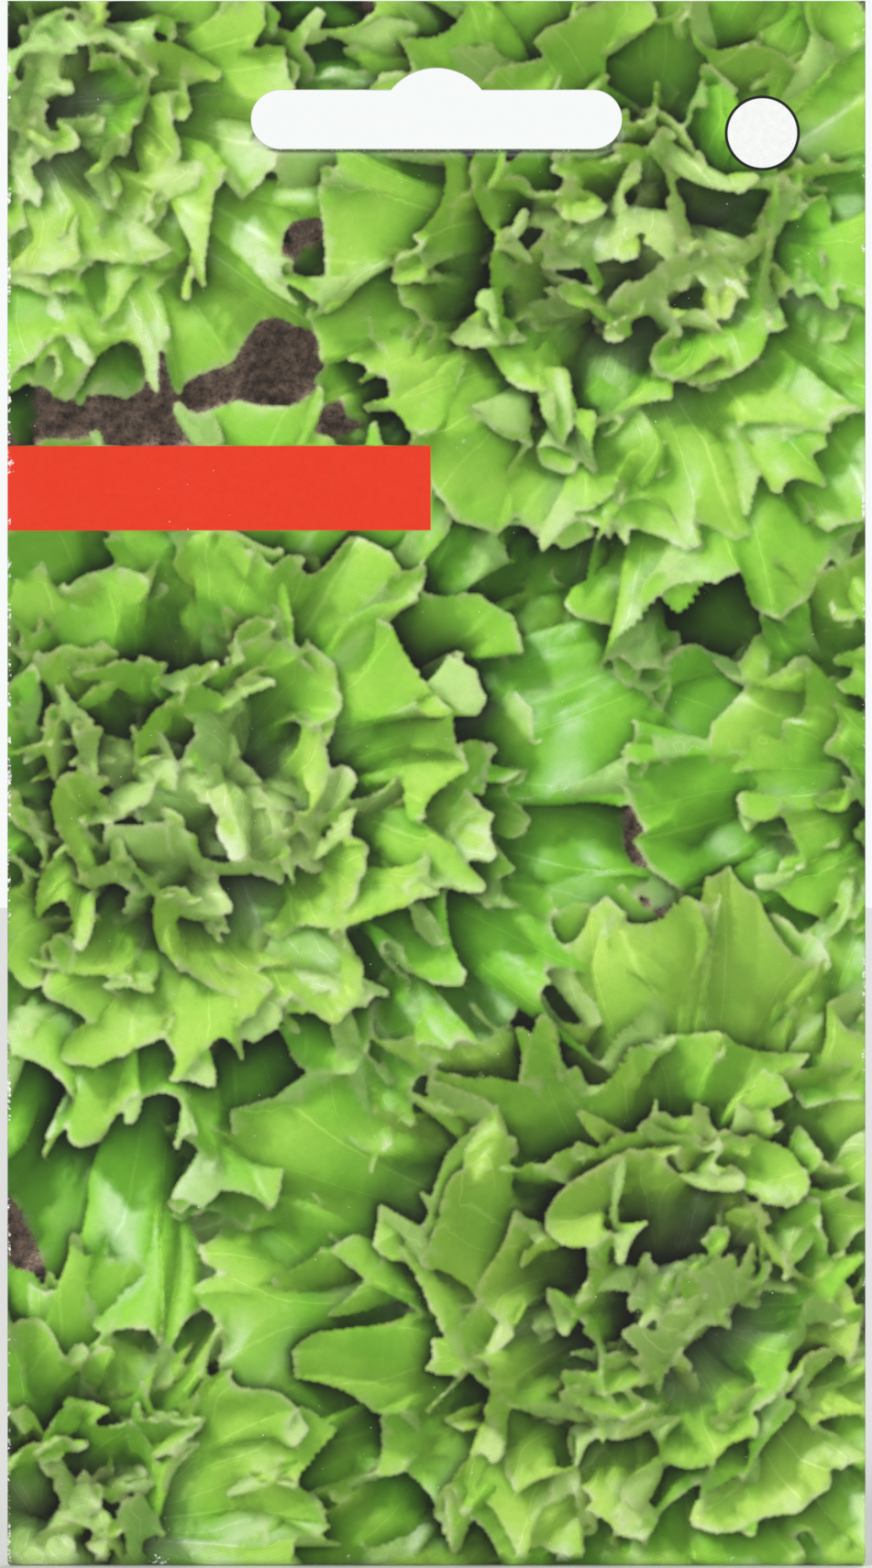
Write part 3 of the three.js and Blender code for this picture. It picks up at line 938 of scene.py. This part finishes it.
# Materials
VEIN_TINT = (1.45, 1.25, 1.9)
VEIN_STRENGTH = 0.85
VEIN_LINES = ((1, 0.16), (3, 0.09))
SCREEN_PITCH = 0.36
SCREEN_TURNS = (30, 120)
FIBRE_DARK = linear(226, 222, 212)
FIBRE_LIGHT = linear(246, 244, 238)
SEED_DARK = linear(58, 44, 32)
SEED_LIGHT = linear(128, 104, 78)


class Nodes:
    """The node tree of a new material or world, with short ways to add and join nodes."""

    def __init__(self, name, kind="materials", shader="Principled BSDF"):
        self.owner = getattr(bpy.data, kind).new(name)
        self.owner.use_nodes = True
        self.tree = self.owner.node_tree
        self.shader = self.tree.nodes[shader]

    def add(self, kind, settings=(), **inputs):
        """A new node, its inputs given by name or by i and their number."""
        node = self.tree.nodes.new("ShaderNode" + kind)
        for key, value in dict(settings).items():
            setattr(node, key, value)
        for key, value in inputs.items():
            self.put(node.inputs[int(key[1:]) if key[1:].isdigit() else key.replace("_", " ")], value)
        return node

    def put(self, socket, value):
        if isinstance(value, bpy.types.NodeSocket):
            self.tree.links.new(value, socket)
        else:
            socket.default_value = value

    def math(self, operation, first, second=0.0, third=0.0):
        return self.add("Math", {"operation": operation}, i0=first, i1=second, i2=third).outputs[0]

    def span(self, value, low, high, to_low, to_high):
        """A value moved from one range to another and kept inside it."""
        return self.add("MapRange", i0=value, i1=low, i2=high, i3=to_low, i4=to_high).outputs[0]

    def noise(self, place, scale, detail=2.0, rough=0.5):
        node = self.add("TexNoise", Vector=place, Scale=scale, Detail=detail, Roughness=rough)
        return node.outputs["Fac"]

    def mix(self, share, first, second):
        """One colour turned into another by a share."""
        return self.add("Mix", {"data_type": "RGBA"}, i0=share, i6=first, i7=second).outputs[2]

    def scaled(self, colour, share):
        """A colour made darker or lighter."""
        return self.add("VectorMath", {"operation": "SCALE"}, i0=colour, Scale=share).outputs[0]

    def bump(self, height, distance, strength):
        node = self.add("Bump", Height=height, Distance=distance, Strength=strength)
        self.surface(Normal=node.outputs[0])

    def surface(self, **inputs):
        for key, value in inputs.items():
            self.put(self.shader.inputs[key.replace("_", " ")], value)
        return self.owner


def leaf_veins(nodes):
    """Veins that fan out from each printed leaf's base, with finer ones between."""
    leaf = nodes.add("Attribute", {"attribute_name": "veins"}).outputs["Vector"]
    fan, out, strength = nodes.add("SeparateXYZ", Vector=leaf).outputs
    lines = []
    for density, width in VEIN_LINES:
        turned = nodes.math("FRACT", nodes.math("MULTIPLY_ADD", fan, density, 0.5))
        off = nodes.math("ABSOLUTE", nodes.math("SUBTRACT", turned, 0.5))
        apart = nodes.math("MULTIPLY", off, nodes.math("DIVIDE", out, density * VEINS_PER_RADIAN))
        lines.append(nodes.span(apart, 0, width, 1 / density ** 0.4, 0))
    shown = nodes.math("MULTIPLY", strength, VEIN_STRENGTH)
    return nodes.math("MULTIPLY", nodes.math("MAXIMUM", *lines), shown)


def printed_paper():
    """Coated paper under a coarse printing screen, rubbed white along its folds and edges."""
    nodes = Nodes("printed_paper")
    place = nodes.add("UVMap", {"uv_map": "sheet"}).outputs[0]
    ink = nodes.add("Attribute", {"attribute_name": "print"}).outputs
    rub = nodes.add("Attribute", {"attribute_name": "wear"}).outputs["Fac"]
    rate = 2 * math.pi / SCREEN_PITCH
    waves = []
    for turn in map(math.radians, SCREEN_TURNS):
        along = (rate * math.cos(turn), rate * math.sin(turn), 0)
        phase = nodes.add("VectorMath", {"operation": "DOT_PRODUCT"}, i0=place, i1=along)
        waves.append(nodes.math("SINE", phase.outputs["Value"]))
    dots = nodes.span(nodes.math("MULTIPLY", *waves), -1, 1, 0.955, 1.045)
    grain = nodes.span(nodes.noise(place, 1.6, 3), 0.3, 0.7, 0.965, 1.035)
    crumbs = nodes.span(nodes.noise(place, 1.3, 5, 0.8), 0.36, 0.68, 0.3, 2.1)
    soil = nodes.scaled(ink["Color"], crumbs)
    colour = nodes.mix(ink["Alpha"], ink["Color"], soil)
    paler = nodes.add("VectorMath", {"operation": "MULTIPLY"}, i0=colour, i1=VEIN_TINT).outputs[0]
    colour = nodes.mix(leaf_veins(nodes), colour, paler)
    colour = nodes.scaled(colour, nodes.math("MULTIPLY", dots, grain))
    patches = nodes.math("ADD", nodes.noise(place, 0.22, 2), nodes.noise(place, 2.3, 4, 0.65))
    chips = nodes.math("ADD", patches, nodes.math("MULTIPLY", rub, 0.70))
    bare = nodes.span(chips, 1.79, 1.89, 0, 1)
    specks = nodes.span(nodes.noise(place, 3.1, 2, 0.4), 0.775, 0.80, 0, 0.8)
    bare = nodes.math("MAXIMUM", bare, specks)
    colour = nodes.mix(bare, colour, rgba(PAPER_WHITE))
    gloss = nodes.span(nodes.noise(place, 0.35, 3), 0.3, 0.7, 0.34, 0.44)
    rough = nodes.math("ADD", gloss, nodes.math("MULTIPLY", bare, 0.35))
    nodes.bump(nodes.noise(place, 5.0, 3), 0.00002, 0.35)
    return nodes.surface(Base_Color=colour, Roughness=rough, Specular_IOR_Level=0.3)


def bare_paper():
    """The uncoated fibre of the sheet's inside and cut edges."""
    nodes = Nodes("bare_paper")
    place = nodes.add("UVMap", {"uv_map": "sheet"}).outputs[0]
    fibre = nodes.noise(place, 4.0, 4, 0.6)
    colour = nodes.mix(nodes.span(fibre, 0.3, 0.7, 0, 1), rgba(FIBRE_DARK), rgba(FIBRE_LIGHT))
    nodes.bump(fibre, 0.00003, 0.5)
    return nodes.surface(Base_Color=colour, Roughness=0.85, Specular_IOR_Level=0.25)


def seed_coat():
    """Dull brown seed coats, streaked and mottled from seed to seed."""
    nodes = Nodes("seed_coat")
    place = nodes.add("TexCoord").outputs["Object"]
    patches = nodes.noise(place, 420.0, 3)
    streaks = nodes.noise(place, 2600.0, 2)
    share = nodes.span(nodes.math("ADD", patches, nodes.math("MULTIPLY", streaks, 0.4)), 0.45, 0.95, 0, 1)
    colour = nodes.mix(share, rgba(SEED_DARK), rgba(SEED_LIGHT))
    nodes.bump(streaks, 0.0001, 0.6)
    return nodes.surface(Base_Color=colour, Roughness=0.7)


# The stage, with the packet's place in the photograph in pixels
IMAGE_WIDTH, IMAGE_HEIGHT = 951, 1711
PACKET_PIXELS = 936
EDGE_LEFT_PIXEL, EDGE_TOP_PIXEL = 8, 1
PIXELS_PER_MM = PACKET_PIXELS / WIDTH
LENS, SENSOR = 200.0, 36.0
SOFT_ANGLE = math.radians(28)
FLOOR_HALF = 4.0
FLOOR_GAP = 0.05
FLOOR_GREY = (0.68, 0.68, 0.67, 1)
SKY_TINT = (0.97, 1.0, 0.99, 1)
SKY_LIGHT = 0.40
SKY_SEEN = 0.95


def make_floor():
    """A wide pale floor just under the packet's bottom fold."""
    mesh = bpy.data.meshes.new("floor")
    z = (BOTTOM_Z - FLOOR_GAP) * MM
    corners = [(x * FLOOR_HALF, y * FLOOR_HALF, z) for x, y in ((-1, -1), (1, -1), (1, 1), (-1, 1))]
    mesh.from_pydata(corners, [], [(0, 1, 2, 3)])
    floor = add_object("floor", mesh)
    nodes = Nodes("floor_paint")
    mesh.materials.append(nodes.surface(Base_Color=FLOOR_GREY, Roughness=0.7, Specular_IOR_Level=0.2))
    floor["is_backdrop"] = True


def make_light(name, place, power):
    """A wide, soft light from one side."""
    data = bpy.data.lights.new(name, "SUN")
    data.angle = SOFT_ANGLE
    data.energy = power
    lamp = add_object(name, data)
    lamp.location = place
    lamp.rotation_euler = (-lamp.location).to_track_quat("-Z", "Y").to_euler()


def make_camera():
    """The scan's straight view, with the packet's edges where the scan has them."""
    data = bpy.data.cameras.new("camera")
    data.lens = LENS
    data.sensor_width = SENSOR
    data.clip_start = 0.01
    camera = add_object("camera", data)
    distance = IMAGE_HEIGHT / PIXELS_PER_MM * LENS / SENSOR
    x = (IMAGE_WIDTH / 2 - EDGE_LEFT_PIXEL) / PIXELS_PER_MM - WIDTH / 2
    z = TOP_Z - (IMAGE_HEIGHT / 2 - EDGE_TOP_PIXEL) / PIXELS_PER_MM
    camera.location = (x * MM, (-OUTER - distance) * MM, z * MM)
    camera.rotation_euler = (math.pi / 2, 0, 0)
    bpy.context.scene.camera = camera


def make_world():
    """An even sky that looks white and lights softly."""
    nodes = Nodes("studio", "worlds", "Background")
    seen = nodes.add("LightPath").outputs["Is Camera Ray"]
    strength = nodes.span(seen, 0, 1, SKY_LIGHT, SKY_SEEN)
    bpy.context.scene.world = nodes.surface(Color=SKY_TINT, Strength=strength)
    bpy.context.scene.view_settings.view_transform = "Standard"


make_camera()
make_world()
make_floor()
make_light("key", (-1.0, -1.3, 1.2), 1.62)
make_light("fill", (1.2, -1.1, 0.8), 0.8)
make_light("back", (0.6, 1.3, 0.9), 1.5)

sheet = make_sheet(lettuce_picture())
sheet.data.materials.append(printed_paper())
sheet.data.materials.append(bare_paper())
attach(sheet, "root")
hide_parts("envelope")
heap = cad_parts["seeds"]
heap.data.materials.clear()
heap.data.materials.append(seed_coat())

boxes = {"cad": cad_box, "visual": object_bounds()}
{name: [list(corner) for corner in box] for name, box in boxes.items()}
